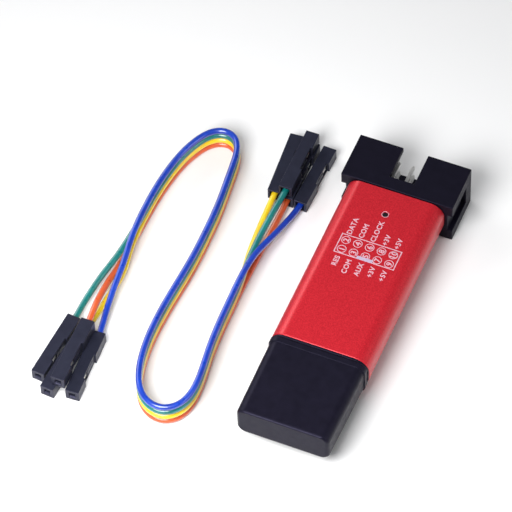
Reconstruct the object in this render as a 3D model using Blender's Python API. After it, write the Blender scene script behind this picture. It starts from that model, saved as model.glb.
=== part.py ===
"""USB microcontroller programmer with its push-on cap and its four-wire jumper lead.

Frame: +Y runs from the capped USB plug to the box header, +Z is up, X is the width.
The programmer lies label side up. Its box header rests on z = 0, and the origin is
under the middle of the programmer. The jumper lead lies on the same surface at -X.
Lengths are in millimetres times MM, which gives metres.
"""

import math

import bmesh
import bpy
from mathutils import Matrix, Vector

MM = 0.001

# Overall layout along Y
HALF_LENGTH = 29.9 * MM
HEADER_DEPTH = 9.0 * MM
HEADER_REAR = HALF_LENGTH - HEADER_DEPTH
SEAT_GAP = 0.1 * MM
SLEEVE_LENGTH = 34.25 * MM
SLEEVE_FRONT = HEADER_REAR - SEAT_GAP
SLEEVE_REAR = SLEEVE_FRONT - SLEEVE_LENGTH

# Box header, two rows of five pins
HEADER_WIDTH = 20.3 * MM
HEADER_HEIGHT = 8.9 * MM
HEADER_MID_Z = HEADER_HEIGHT / 2
HEADER_BASE = 2.5 * MM
CAVITY_WIDTH = 17.8 * MM
CAVITY_HEIGHT = 6.6 * MM
KEY_SLOT_WIDTH = 4.5 * MM
END_SLOT_DEPTH = 0.85 * MM
END_SLOT_HEIGHT = 4.0 * MM
END_SLOT_LENGTH = 6.6 * MM
PIN_PITCH = 2.54 * MM
PIN_SIZE = 0.64 * MM
PIN_TIP_Y = HALF_LENGTH - 0.8 * MM
PIN_TAIL = 3.0 * MM
PIN_CHAMFER = 0.5 * MM
COLUMNS = 5

# Aluminium sleeve
SLEEVE_WIDTH = 17.5 * MM
SLEEVE_HEIGHT = 7.0 * MM
SLEEVE_CORNER = 2.6 * MM
SLEEVE_WALL = 0.9 * MM
SLEEVE_TOP = HEADER_HEIGHT - 0.15 * MM
SLEEVE_MID_Z = SLEEVE_TOP - SLEEVE_HEIGHT / 2
LED_HOLE_DIAMETER = 1.0 * MM
LED_Y = 15.7 * MM

# Circuit board and what is soldered to it
BOARD_WIDTH = 16.2 * MM
BOARD_THICKNESS = 1.6 * MM
BOARD_FRONT = HEADER_REAR - 0.4 * MM
BOARD_REAR = -8.0 * MM
GROOVE_CLEARANCE = 0.15 * MM
SOLDER_GAP = 0.05 * MM
BOARD_TOP = HEADER_MID_Z + BOARD_THICKNESS / 2

# USB plug and the plastic bezel that closes the sleeve around it
PLUG_WIDTH = 12.0 * MM
PLUG_HEIGHT = 4.5 * MM
PLUG_WALL = 0.3 * MM
PLUG_CORNER = 0.5 * MM
PLUG_TIP_Y = -27.0 * MM
PLUG_REAR_Y = BOARD_REAR - 0.3 * MM
BEZEL_FLANGE = 0.4 * MM
BEZEL_SPIGOT = 2.5 * MM
TONGUE_WIDTH = 11.1 * MM
TONGUE_HEIGHT = 1.85 * MM
CONTACT_WIDTH = 1.0 * MM
CONTACT_THICKNESS = 0.2 * MM
CONTACT_X = (-3.5 * MM, -1.0 * MM, 1.0 * MM, 3.5 * MM)

# Push-on cap
CAP_MOUTH_Y = SLEEVE_REAR - BEZEL_FLANGE - 0.1 * MM
CAP_LIP_LENGTH = 1.05 * MM
CAP_LIP_WIDTH = 17.2 * MM
CAP_LIP_HEIGHT = 6.8 * MM
CAP_BODY_WIDTH = 16.8 * MM
CAP_BODY_HEIGHT = 6.5 * MM
CAP_END_WIDTH = 16.4 * MM
CAP_END_HEIGHT = 6.2 * MM
CAP_CORNER = 1.6 * MM
CAP_END_Y = -HALF_LENGTH
CAP_END_ROUND = 0.7 * MM
CAP_POCKET_WIDTH = 12.7 * MM
CAP_POCKET_HEIGHT = 5.0 * MM
CAP_POCKET_END_Y = -29.1 * MM

# Jumper lead
WIRE_DIAMETER = 1.1 * MM
WIRE_PITCH = 1.25 * MM
WIRE_POINT_SPACING = 3.6 * MM
FINE_STEPS = 24
SOCKET_SIZE = 2.4 * MM
SOCKET_LENGTH = 12.8 * MM
SOCKET_WALL = 0.42 * MM
SOCKET_MOUTH = 0.9 * MM
SOCKET_MOUTH_DEPTH = 3.0 * MM
WINDOW_LENGTH = 2.6 * MM
WINDOW_WIDTH = 1.4 * MM
WINDOW_CENTRE = 4.6 * MM
CRIMP_SIZE = 1.3 * MM
CRIMP_START = 3.2 * MM
CRIMP_LENGTH = 6.2 * MM
WIRE_INSET = 0.3 * MM

# Height of each wire's middle while the flat ribbon stands on its edge, in millimetres
LOWEST_WIRE_Z = 0.60
RIBBON_Z = {
    colour: LOWEST_WIRE_Z + row * WIRE_PITCH / MM
    for row, colour in enumerate(("orange", "yellow", "green", "blue"))
}

# Route of the ribbon that all four wires share, x and y in millimetres
RIBBON_ROUTE = [
    (-39.8, 3.7), (-39.8, 10.4), (-38.9, 17.4), (-37.4, 21.6), (-35.8, 24.2), (-33.5, 25.4),
    (-31.0, 24.6), (-29.7, 21.8), (-29.2, 17.0), (-28.5, 11.4), (-28.2, 6.7), (-28.0, -2.2),
    (-28.6, -9.7), (-28.8, -17.4), (-28.1, -23.8), (-26.3, -29.1), (-23.2, -31.8),
    (-19.6, -31.7), (-17.3, -28.5), (-17.3, -23.6), (-18.3, -17.6), (-18.7, -11.8),
    (-18.8, -7.4), (-19.0, -3.0),
]

# Each wire's own routes from its socket to the ribbon and from the ribbon to its other
# socket, with heights, in millimetres. The first and last points are at the sockets.
LEFT_ROUTES = {
    "green": [(-42.4, -18.6, 1.2), (-42.4, -15.4, 1.3), (-41.9, -10.5, 1.7),
              (-41.2, -7.4, 2.2), (-40.5, -4.8, 2.7), (-40.1, -1.2, 3.1)],
    "orange": [(-39.1, -19.9, 3.62), (-39.7, -16.4, 3.5), (-40.1, -10.8, 2.2),
               (-40.1, -7.5, 1.2), (-40.2, -4.9, 0.7), (-40.0, -1.3, 0.6)],
    "yellow": [(-39.8, -20.9, 1.2), (-39.5, -17.4, 1.1), (-38.9, -10.5, 1.0),
               (-38.6, -7.4, 1.3), (-39.0, -4.8, 1.6), (-39.6, -1.3, 1.85)],
    "blue": [(-37.2, -20.0, 1.2), (-37.9, -16.4, 1.5), (-38.5, -11.7, 2.4),
             (-38.7, -7.3, 3.2), (-39.0, -4.7, 3.6), (-39.5, -1.2, 4.35)],
}
RIGHT_ROUTES = {
    "yellow": [(-19.6, 0.7, 1.8), (-20.2, 3.6, 1.8), (-20.7, 8.0, 1.5), (-21.1, 13.5, 1.2),
               (-21.25, 17.35, 1.2)],
    "green": [(-19.3, 0.8, 3.1), (-19.6, 3.7, 3.0), (-19.6, 8.1, 3.2), (-19.3, 13.6, 3.6),
              (-19.05, 17.1, 3.62)],
    "orange": [(-19.0, 0.7, 0.6), (-19.0, 3.6, 0.6), (-18.9, 8.0, 0.8), (-18.7, 13.4, 1.2),
               (-18.76, 16.8, 1.2)],
    "blue": [(-18.8, 0.9, 4.35), (-18.6, 3.8, 3.9), (-17.8, 8.0, 2.8), (-16.9, 13.1, 1.6),
             (-16.25, 16.8, 1.2)],
}

# How far each socket's open end leans towards +X. The left sockets open towards -Y and the
# right ones towards +Y, and every window faces +X.
LEFT_LEAN = {"green": -0.9 * MM, "orange": 0.15 * MM, "yellow": -0.85 * MM, "blue": 0.75 * MM}
RIGHT_LEAN = {"yellow": -1.0 * MM, "green": -0.1 * MM, "orange": -0.15 * MM, "blue": 0.4 * MM}


def clear_scene():
    for item in list(bpy.data.objects):
        bpy.data.objects.remove(item, do_unlink=True)


def material(name, colour, roughness, metallic=0.0):
    made = bpy.data.materials.new(name)
    made.use_nodes = True
    shader = made.node_tree.nodes["Principled BSDF"]
    shader.inputs["Base Color"].default_value = (*colour, 1.0)
    shader.inputs["Roughness"].default_value = roughness
    shader.inputs["Metallic"].default_value = metallic
    made.diffuse_color = (*colour, 1.0)
    return made


def finish_mesh(mesh, smooth_angle=35.0):
    """Points the faces outwards and shades the round parts smooth."""
    work = bmesh.new()
    work.from_mesh(mesh)
    bmesh.ops.recalc_face_normals(work, faces=work.faces)
    work.to_mesh(mesh)
    work.free()
    mesh.shade_smooth()
    mesh.set_sharp_from_angle(angle=math.radians(smooth_angle))


def add_object(name, mesh, finish, parent):
    made = bpy.data.objects.new(name, mesh)
    bpy.context.collection.objects.link(made)
    if finish is not None:
        mesh.materials.append(finish)
    made.parent = parent
    return made


def skin_rings(name, rings, finish, parent=None, hollow=False):
    """One closed body through rings of points. A hollow body joins the last ring to the
    first, and any other body is capped at both ends."""
    work = bmesh.new()
    loops = [[work.verts.new(point) for point in ring] for ring in rings]
    pairs = list(zip(loops, loops[1:]))
    if hollow:
        pairs.append((loops[-1], loops[0]))
    for first, second in pairs:
        count = len(first)
        for i in range(count):
            j = (i + 1) % count
            work.faces.new((first[i], first[j], second[j], second[i]))
    if not hollow:
        work.faces.new(loops[0])
        work.faces.new(loops[-1])
    mesh = bpy.data.meshes.new(name)
    work.to_mesh(mesh)
    work.free()
    finish_mesh(mesh)
    return add_object(name, mesh, finish, parent)


def rounded_ring(y, width, height, mid_z, corner, steps=5):
    """A rounded rectangle in the XZ plane at y, as points in order."""
    points = []
    corners = (
        (width / 2 - corner, height / 2 - corner, 0),
        (corner - width / 2, height / 2 - corner, 90),
        (corner - width / 2, corner - height / 2, 180),
        (width / 2 - corner, corner - height / 2, 270),
    )
    for x, z, start in corners:
        for i in range(steps + 1):
            angle = math.radians(start + 90 * i / steps)
            points.append((x + corner * math.cos(angle), y, mid_z + z + corner * math.sin(angle)))
    return points


def block(name, low, high, finish, parent=None):
    """A plain box from its lowest to its highest corner."""
    rings = []
    for y in (low[1], high[1]):
        rings.append([(low[0], y, low[2]), (high[0], y, low[2]),
                      (high[0], y, high[2]), (low[0], y, high[2])])
    return skin_rings(name, rings, finish, parent)


def drum(name, centre, radius, length, finish, parent=None, sides=20):
    """An upright cylinder from centre upwards."""
    rings = []
    for z in (centre[2], centre[2] + length):
        rings.append([(centre[0] + radius * math.cos(2 * math.pi * i / sides),
                       centre[1] + radius * math.sin(2 * math.pi * i / sides), z)
                      for i in range(sides)])
    return skin_rings(name, rings, finish, parent)


def carve(target, cutter):
    """Cuts the cutter out of the target. The cutter stays in the scene as a guide."""
    cutter.hide_render = True
    cutter.display_type = "WIRE"
    cutter.parent = target.parent
    step = target.modifiers.new("carve " + cutter.name, "BOOLEAN")
    step.operation = "DIFFERENCE"
    step.solver = "EXACT"
    step.object = cutter


def sleeve(finish, parent):
    inner_width = SLEEVE_WIDTH - 2 * SLEEVE_WALL
    inner_height = SLEEVE_HEIGHT - 2 * SLEEVE_WALL
    inner_corner = SLEEVE_CORNER - SLEEVE_WALL
    rings = [
        rounded_ring(SLEEVE_REAR, SLEEVE_WIDTH, SLEEVE_HEIGHT, SLEEVE_MID_Z, SLEEVE_CORNER),
        rounded_ring(SLEEVE_FRONT, SLEEVE_WIDTH, SLEEVE_HEIGHT, SLEEVE_MID_Z, SLEEVE_CORNER),
        rounded_ring(SLEEVE_FRONT, inner_width, inner_height, SLEEVE_MID_Z, inner_corner),
        rounded_ring(SLEEVE_REAR, inner_width, inner_height, SLEEVE_MID_Z, inner_corner),
    ]
    made = skin_rings("aluminium_sleeve", rings, finish, parent, hollow=True)
    groove_x = BOARD_WIDTH / 2 + GROOVE_CLEARANCE
    groove_z = BOARD_THICKNESS / 2 + GROOVE_CLEARANCE
    overrun = 1.0 * MM
    carve(made, block("board_groove_cutter",
                      (-groove_x, SLEEVE_REAR - overrun, HEADER_MID_Z - groove_z),
                      (groove_x, SLEEVE_FRONT + overrun, HEADER_MID_Z + groove_z), None))
    carve(made, drum("led_hole_cutter", (0, LED_Y, SLEEVE_TOP - SLEEVE_WALL - overrun),
                     LED_HOLE_DIAMETER / 2, SLEEVE_WALL + 2 * overrun, None))


def end_bezel(finish, parent):
    """Plastic frame between the plug and the sleeve, with a thin flange outside."""
    fit = 0.1 * MM
    flange_y = SLEEVE_REAR - 0.02 * MM
    width = SLEEVE_WIDTH - 2 * SLEEVE_WALL - 2 * fit
    height = SLEEVE_HEIGHT - 2 * SLEEVE_WALL - 2 * fit
    corner = SLEEVE_CORNER - SLEEVE_WALL
    hole_width = PLUG_WIDTH + 2 * fit
    hole_height = PLUG_HEIGHT + 2 * fit
    hole_corner = PLUG_CORNER + fit
    rear = SLEEVE_REAR - BEZEL_FLANGE
    front = SLEEVE_REAR + BEZEL_SPIGOT
    mid = SLEEVE_MID_Z
    rings = [
        rounded_ring(rear, SLEEVE_WIDTH - fit, SLEEVE_HEIGHT - fit, mid, SLEEVE_CORNER),
        rounded_ring(flange_y, SLEEVE_WIDTH - fit, SLEEVE_HEIGHT - fit, mid, SLEEVE_CORNER),
        rounded_ring(flange_y, width, height, mid, corner),
        rounded_ring(front, width, height, mid, corner),
        rounded_ring(front, hole_width, hole_height, mid, hole_corner),
        rounded_ring(rear, hole_width, hole_height, mid, hole_corner),
    ]
    skin_rings("end_bezel", rings, finish, parent, hollow=True)


def usb_plug(metal, plastic, gold, parent):
    """Folded steel shell, the plastic tongue in its lower half and four gold contacts."""
    inner_width = PLUG_WIDTH - 2 * PLUG_WALL
    inner_height = PLUG_HEIGHT - 2 * PLUG_WALL
    inner_corner = PLUG_CORNER - PLUG_WALL
    mid = SLEEVE_MID_Z
    rings = [
        rounded_ring(PLUG_TIP_Y, PLUG_WIDTH, PLUG_HEIGHT, mid, PLUG_CORNER, 3),
        rounded_ring(PLUG_REAR_Y, PLUG_WIDTH, PLUG_HEIGHT, mid, PLUG_CORNER, 3),
        rounded_ring(PLUG_REAR_Y, inner_width, inner_height, mid, inner_corner, 3),
        rounded_ring(PLUG_TIP_Y, inner_width, inner_height, mid, inner_corner, 3),
    ]
    shell = skin_rings("usb_plug_shell", rings, metal, parent, hollow=True)
    window_half = 1.25 * MM
    window_x = 2.9 * MM
    window_y = PLUG_TIP_Y + 6.2 * MM
    for side, x in (("left", -window_x), ("right", window_x)):
        carve(shell, block("plug_window_cutter_" + side,
                           (x - window_half, window_y - window_half, mid),
                           (x + window_half, window_y + window_half, mid + PLUG_HEIGHT), None))

    tongue_low = mid - inner_height / 2 + SOLDER_GAP
    tongue_high = tongue_low + TONGUE_HEIGHT
    block("usb_tongue", (-TONGUE_WIDTH / 2, PLUG_TIP_Y + 0.4 * MM, tongue_low),
          (TONGUE_WIDTH / 2, PLUG_REAR_Y - 0.5 * MM, tongue_high), plastic, parent)
    for number, x in enumerate(CONTACT_X, start=1):
        block(f"usb_contact_{number}",
              (x - CONTACT_WIDTH / 2, PLUG_TIP_Y + 0.8 * MM, tongue_high + 0.02 * MM),
              (x + CONTACT_WIDTH / 2, PLUG_REAR_Y - 0.9 * MM,
               tongue_high + 0.02 * MM + CONTACT_THICKNESS), gold, parent)


def circuit_board(finishes, parent):
    """The board in the sleeve's grooves, and the parts soldered on its upper face."""
    half = BOARD_WIDTH / 2
    block("circuit_board", (-half, BOARD_REAR, BOARD_TOP - BOARD_THICKNESS),
          (half, BOARD_FRONT, BOARD_TOP), finishes["board"], parent)
    seat = BOARD_TOP + SOLDER_GAP
    parts = [
        # name, x, y, width, length, height, material
        ("microcontroller", 0.0, 1.5, 7.0, 7.0, 1.4, "chip"),
        ("voltage_regulator", -5.2, -4.4, 2.9, 1.6, 1.1, "chip"),
        ("crystal", 4.9, -4.6, 3.2, 2.5, 0.8, "steel"),
        ("status_led", 0.0, LED_Y / MM, 1.6, 0.8, 0.8, "lens"),
        ("led_resistor", -3.2, 13.4, 1.6, 0.8, 0.5, "chip"),
        ("data_resistor", 3.2, 12.2, 1.6, 0.8, 0.5, "chip"),
        ("clock_resistor", 3.2, 10.6, 1.6, 0.8, 0.5, "chip"),
        ("supply_capacitor", -3.2, 10.6, 2.0, 1.25, 1.2, "ceramic"),
        ("input_capacitor", 0.0, -5.6, 2.0, 1.25, 1.2, "ceramic"),
    ]
    for name, x, y, width, length, height, finish in parts:
        low = (x * MM - width * MM / 2, y * MM - length * MM / 2, seat)
        high = (x * MM + width * MM / 2, y * MM + length * MM / 2, seat + height * MM)
        block(name, low, high, finishes[finish], parent)


def box_header(plastic, metal, parent):
    """Shrouded header: open towards +Y, keyed through its upper wall, with a recess in
    each end wall that starts at the rear."""
    half = HEADER_WIDTH / 2
    body = block("header_housing", (-half, HEADER_REAR, 0.0),
                 (half, HALF_LENGTH, HEADER_HEIGHT), plastic, parent)
    floor_y = HEADER_REAR + HEADER_BASE
    overrun = 1.0 * MM
    carve(body, block("header_cavity_cutter",
                      (-CAVITY_WIDTH / 2, floor_y, HEADER_MID_Z - CAVITY_HEIGHT / 2),
                      (CAVITY_WIDTH / 2, HALF_LENGTH + overrun,
                       HEADER_MID_Z + CAVITY_HEIGHT / 2), None))
    carve(body, block("key_slot_cutter", (-KEY_SLOT_WIDTH / 2, floor_y, HEADER_MID_Z),
                      (KEY_SLOT_WIDTH / 2, HALF_LENGTH + overrun, HEADER_HEIGHT + overrun), None))
    for side in (-1, 1):
        near = side * (half - END_SLOT_DEPTH)
        far = side * (half + overrun)
        carve(body, block(f"end_recess_cutter_{'left' if side < 0 else 'right'}",
                          (min(near, far), HEADER_REAR - overrun,
                           HEADER_MID_Z - END_SLOT_HEIGHT / 2),
                          (max(near, far), HEADER_REAR + END_SLOT_LENGTH,
                           HEADER_MID_Z + END_SLOT_HEIGHT / 2), None))

    clearance = 0.06 * MM
    hole = PIN_SIZE / 2 + clearance
    for column in range(COLUMNS):
        x = (column - (COLUMNS - 1) / 2) * PIN_PITCH
        for row, z in enumerate((HEADER_MID_Z - PIN_PITCH / 2, HEADER_MID_Z + PIN_PITCH / 2)):
            number = 2 * column + row + 1
            carve(body, block(f"pin_hole_cutter_{number}",
                              (x - hole, HEADER_REAR - overrun, z - hole),
                              (x + hole, floor_y + overrun, z + hole), None))
            header_pin(number, x, z, metal, parent)


def header_pin(number, x, z, finish, parent):
    """A square pin with a tapered tip, from its solder tail to the mouth of the header."""
    half = PIN_SIZE / 2
    tip = half * 0.45
    rings = []
    for y, size in ((HEADER_REAR - PIN_TAIL, tip), (HEADER_REAR - PIN_TAIL + PIN_CHAMFER, half),
                    (PIN_TIP_Y - PIN_CHAMFER, half), (PIN_TIP_Y, tip)):
        rings.append([(x - size, y, z - size), (x + size, y, z - size),
                      (x + size, y, z + size), (x - size, y, z + size)])
    skin_rings(f"header_pin_{number}", rings, finish, parent)


def usb_cap(finish, parent):
    """One closed shell: from the middle of the closed end, over the outside to the mouth,
    and back along the pocket to its floor. Its flat top is level from end to end."""
    top = SLEEVE_MID_Z + CAP_LIP_HEIGHT / 2
    body_top = top - (CAP_LIP_HEIGHT - CAP_BODY_HEIGHT) / 2

    def outside(y, width, height, corner, upper):
        return rounded_ring(y, width, height, upper - height / 2, corner, 6)

    lip_y = CAP_MOUTH_Y - CAP_LIP_LENGTH
    inset = CAP_END_ROUND * 0.3
    rings = [
        outside(CAP_END_Y, CAP_END_WIDTH - 2 * CAP_END_ROUND, CAP_END_HEIGHT - 2 * CAP_END_ROUND,
                CAP_CORNER - CAP_END_ROUND, body_top - CAP_END_ROUND),
        outside(CAP_END_Y + inset, CAP_END_WIDTH - 2 * inset, CAP_END_HEIGHT - 2 * inset,
                CAP_CORNER - inset, body_top - inset),
        outside(CAP_END_Y + CAP_END_ROUND, CAP_END_WIDTH, CAP_END_HEIGHT, CAP_CORNER, body_top),
        outside(lip_y, CAP_BODY_WIDTH, CAP_BODY_HEIGHT, CAP_CORNER, body_top),
        outside(lip_y, CAP_LIP_WIDTH, CAP_LIP_HEIGHT, CAP_CORNER, top),
        outside(CAP_MOUTH_Y, CAP_LIP_WIDTH, CAP_LIP_HEIGHT, CAP_CORNER, top),
        outside(CAP_MOUTH_Y, CAP_POCKET_WIDTH, CAP_POCKET_HEIGHT, PLUG_CORNER,
                SLEEVE_MID_Z + CAP_POCKET_HEIGHT / 2),
        outside(CAP_POCKET_END_Y, CAP_POCKET_WIDTH, CAP_POCKET_HEIGHT, PLUG_CORNER,
                SLEEVE_MID_Z + CAP_POCKET_HEIGHT / 2),
    ]
    skin_rings("usb_cap", rings, finish, parent)


def smooth_route(route, spacing):
    """Points at an even spacing along a cubic B-spline that starts and ends at the route's
    own ends and is led by the points between them."""
    guides = [Vector(point) for point in route]
    guides = [2 * guides[0] - guides[1]] + guides + [2 * guides[-1] - guides[-2]]
    fine = []
    for p0, p1, p2, p3 in zip(guides, guides[1:], guides[2:], guides[3:]):
        for step in range(FINE_STEPS):
            t = step / FINE_STEPS
            fine.append(((1 - t) ** 3 * p0 + (3 * t ** 3 - 6 * t ** 2 + 4) * p1
                         + (-3 * t ** 3 + 3 * t ** 2 + 3 * t + 1) * p2 + t ** 3 * p3) / 6)
    fine.append(guides[-2])
    travelled = [0.0]
    for first, second in zip(fine, fine[1:]):
        travelled.append(travelled[-1] + (second - first).length)
    count = round(travelled[-1] / spacing)
    points = []
    index = 0
    for i in range(count + 1):
        wanted = travelled[-1] * i / count
        while index < len(fine) - 2 and travelled[index + 1] < wanted:
            index += 1
        stretch = travelled[index + 1] - travelled[index]
        points.append(fine[index].lerp(fine[index + 1], (wanted - travelled[index]) / stretch))
    return points


def wire_route(colour):
    """The whole route of one wire in metres, from its left socket to its right socket."""
    ribbon = [(x, y, RIBBON_Z[colour]) for x, y in RIBBON_ROUTE]
    route = LEFT_ROUTES[colour] + ribbon + RIGHT_ROUTES[colour]
    return [Vector(point) * MM for point in route]


def jumper_wire(colour, finish, parent):
    curve = bpy.data.curves.new("wire_" + colour, "CURVE")
    curve.dimensions = "3D"
    curve.bevel_depth = WIRE_DIAMETER / 2
    curve.bevel_resolution = 2
    curve.use_fill_caps = True
    points = smooth_route(wire_route(colour), WIRE_POINT_SPACING)
    spline = curve.splines.new("POLY")
    spline.points.add(len(points) - 1)
    for slot, point in zip(spline.points, points):
        slot.co = (*point, 1.0)
    curve.materials.append(finish)
    made = bpy.data.objects.new("wire_" + colour, curve)
    bpy.context.collection.objects.link(made)
    made.parent = parent


def socket(name, entry, lean, direction, plastic, metal, parent):
    """A one-way crimp housing and its terminal. It is modelled along +Y from its wire
    entry at the origin with its window on top, then turned to lie along its own direction
    with the window towards +X."""
    half = SOCKET_SIZE / 2
    body = block("socket_" + name, (-half, 0, -half), (half, SOCKET_LENGTH, half), plastic)
    bore = half - SOCKET_WALL
    mouth = SOCKET_MOUTH / 2
    floor_y = SOCKET_LENGTH - SOCKET_MOUTH_DEPTH
    overrun = 1.0 * MM
    window_y = SOCKET_LENGTH - WINDOW_CENTRE
    cutters = [
        block("bore_cutter_" + name, (-bore, -overrun, -bore), (bore, floor_y, bore), None),
        block("mouth_cutter_" + name, (-mouth, floor_y - overrun, -mouth),
              (mouth, SOCKET_LENGTH + overrun, mouth), None),
        block("window_cutter_" + name, (-WINDOW_WIDTH / 2, window_y - WINDOW_LENGTH / 2, 0),
              (WINDOW_WIDTH / 2, window_y + WINDOW_LENGTH / 2, half + overrun), None),
    ]
    crimp_half = CRIMP_SIZE / 2
    terminal = block("crimp_" + name, (-crimp_half, CRIMP_START, -crimp_half),
                     (crimp_half, CRIMP_START + CRIMP_LENGTH, crimp_half), metal)
    end = Vector((lean, direction * (SOCKET_LENGTH ** 2 - lean ** 2) ** 0.5, 0.0))
    turn = math.atan2(-end.x, end.y)
    place = (Matrix.Translation(entry) @ Matrix.Rotation(turn, 4, "Z")
             @ Matrix.Rotation(math.radians(90 * direction), 4, "Y"))
    for cutter in cutters:
        cutter.matrix_world = place
        carve(body, cutter)
    for item in (body, terminal):
        item.matrix_world = place
        item.parent = parent


def jumper_lead(finishes, parent):
    for colour in ("blue", "green", "yellow", "orange"):
        jumper_wire(colour, finishes["wire_" + colour], parent)
        route = wire_route(colour)
        left_entry = route[0] - Vector((0, WIRE_INSET, 0))
        right_entry = route[-1] + Vector((0, WIRE_INSET, 0))
        socket(colour + "_a", left_entry, LEFT_LEAN[colour], -1, finishes["black"],
               finishes["tin"], parent)
        socket(colour + "_b", right_entry, RIGHT_LEAN[colour], 1, finishes["black"],
               finishes["tin"], parent)


def body_empty(name, location=(0.0, 0.0, 0.0)):
    made = bpy.data.objects.new(name, None)
    bpy.context.collection.objects.link(made)
    made.location = location
    return made


def main():
    clear_scene()
    finishes = {
        "red": material("red_anodised_aluminium", (0.62, 0.015, 0.03), 0.38, 0.85),
        "black": material("black_plastic", (0.018, 0.017, 0.022), 0.5),
        "header": material("black_header_plastic", (0.012, 0.011, 0.014), 0.62),
        "tin": material("tinned_metal", (0.72, 0.71, 0.69), 0.3, 1.0),
        "gold": material("gold_plating", (0.83, 0.62, 0.25), 0.25, 1.0),
        "steel": material("plug_steel", (0.66, 0.66, 0.67), 0.28, 1.0),
        "white": material("white_plastic", (0.8, 0.8, 0.78), 0.5),
        "board": material("green_circuit_board", (0.02, 0.13, 0.05), 0.45),
        "chip": material("chip_resin", (0.02, 0.02, 0.022), 0.6),
        "ceramic": material("ceramic", (0.45, 0.33, 0.2), 0.5),
        "lens": material("led_lens", (0.75, 0.75, 0.7), 0.2),
        "wire_blue": material("blue_insulation", (0.01, 0.08, 0.62), 0.35),
        "wire_green": material("green_insulation", (0.01, 0.3, 0.24), 0.35),
        "wire_yellow": material("yellow_insulation", (0.85, 0.66, 0.02), 0.35),
        "wire_orange": material("orange_insulation", (0.75, 0.13, 0.03), 0.35),
    }
    programmer = body_empty("programmer")
    cap = body_empty("cap")
    lead = body_empty("jumper_lead")
    box_header(finishes["header"], finishes["tin"], programmer)
    sleeve(finishes["red"], programmer)
    end_bezel(finishes["black"], programmer)
    circuit_board(finishes, programmer)
    usb_plug(finishes["steel"], finishes["white"], finishes["gold"], programmer)
    usb_cap(finishes["black"], cap)
    jumper_lead(finishes, lead)


main()
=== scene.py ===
"""Looks of the USB microcontroller programmer, its push-on cap and its four-wire jumper lead.

Frame: +Y runs from the capped USB plug to the box header, +Z is up, X is the width.
The programmer lies label side up, and the jumper lead lies beside it at -X.
Lengths are in millimetres times MM, which gives metres.
"""

import math

import bmesh
import bpy
from mathutils import Matrix, Vector


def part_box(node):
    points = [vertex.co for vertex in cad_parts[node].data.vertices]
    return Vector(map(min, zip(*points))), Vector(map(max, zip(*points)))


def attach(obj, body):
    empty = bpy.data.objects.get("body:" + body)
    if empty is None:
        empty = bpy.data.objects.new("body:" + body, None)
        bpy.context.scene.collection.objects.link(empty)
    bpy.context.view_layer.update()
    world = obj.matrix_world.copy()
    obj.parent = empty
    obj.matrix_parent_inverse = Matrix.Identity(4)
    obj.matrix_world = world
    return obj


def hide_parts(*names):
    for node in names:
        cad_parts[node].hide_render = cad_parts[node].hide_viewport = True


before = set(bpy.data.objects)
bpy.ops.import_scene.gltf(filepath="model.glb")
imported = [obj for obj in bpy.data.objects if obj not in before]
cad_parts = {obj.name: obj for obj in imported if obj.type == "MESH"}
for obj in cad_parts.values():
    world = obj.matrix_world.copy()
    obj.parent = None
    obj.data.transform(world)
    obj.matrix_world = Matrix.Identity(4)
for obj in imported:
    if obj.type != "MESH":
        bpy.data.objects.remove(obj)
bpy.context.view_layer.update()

MM = 0.001

# How far a cutter reaches past what it cuts, and the edge angle above which an edge is sharp
BEYOND = 1.0 * MM
SHARP_ANGLE = 38.0

# Camera: aimed at a point of the surface beside the sleeve, from far away
CAMERA_TARGET = Vector((-19.38, 5.06, 0.52)) * MM
CAMERA_DISTANCE = 680 * MM
CAMERA_AZIMUTH = 24.54
CAMERA_ELEVATION = 54.08
CAMERA_ROLL = -2.23
CAMERA_LENS = 281.25
SENSOR_WIDTH = 36.0

# Sleeve
SLEEVE_CORNER = 2.6 * MM
SLEEVE_WALL = 0.9 * MM
SLEEVE_CHAMFER = 0.12 * MM
BOARD_PLAY = 0.15 * MM
LED_HOLE_RADIUS = 0.5 * MM
LED_COUNTERSINK = 0.04 * MM
LED_RING_INNER = 0.55 * MM
LED_RING_OUTER = 0.63 * MM
LED_Y = 15.7 * MM
# Plug in the LED hole: its near-black colour is painted shade for the dark inside of the hole
HOLE_SHADE_PLUG_RADIUS = 0.49 * MM
HOLE_SHADE_PLUG_DROP = 0.09 * MM
HOLE_SHADE_PLUG_DOME = 0.07 * MM
HOLE_SHADE_PLUG_BELOW_WALL = 0.3 * MM

# Print on the sleeve: a table of circled pin numbers with a name beside each
PRINT_DEPTH = 0.02 * MM
PRINT_SINK = 0.004 * MM
TABLE_LOW = Vector((-5.2, 5.45)) * MM
TABLE_HIGH = Vector((5.5, 9.38)) * MM
TABLE_LINE = 0.17 * MM
COLUMN_X = [(0.12 + 2.13 * step) * MM for step in (-2, -1, 0, 1, 2)]
ODD_ROW_Y = 6.34 * MM
EVEN_ROW_Y = 8.30 * MM
CIRCLE_RADIUS = 0.80 * MM
CIRCLE_LINE = 0.13 * MM
KEY_MARK_LOW = Vector((-1.2, 5.38)) * MM
KEY_MARK_HIGH = Vector((1.65, 6.03)) * MM
NAMES_ODD = ("RES", "COM", "AUX", "+3V", "+5V")
NAMES_EVEN = ("DATA", "COM", "CLOCK", "+3V", "+5V")
NAME_SHIFT_X = -0.08 * MM
NAME_GAP_ODD = 0.68 * MM
NAME_GAP_EVEN = 0.25 * MM
NAME_SIZE = 1.26 * MM
NUMBER_SIZE = 1.42 * MM
CAPITAL_SHARE = 0.73
LETTER_SPACING = 1.08
LETTER_BOLDNESS = 0.030 * MM

# Box header
CAVITY_WIDTH = 17.8 * MM
CAVITY_HEIGHT = 6.6 * MM
HEADER_BASE = 2.5 * MM
KEY_SLOT_WIDTH = 4.5 * MM
END_RECESS_DEPTH = 0.85 * MM
END_RECESS_HEIGHT = 4.0 * MM
END_RECESS_LENGTH = 6.6 * MM
PIN_PITCH = 2.54 * MM
PIN_HOLE = 0.76 * MM
HEADER_EDGE = 0.11 * MM

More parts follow.
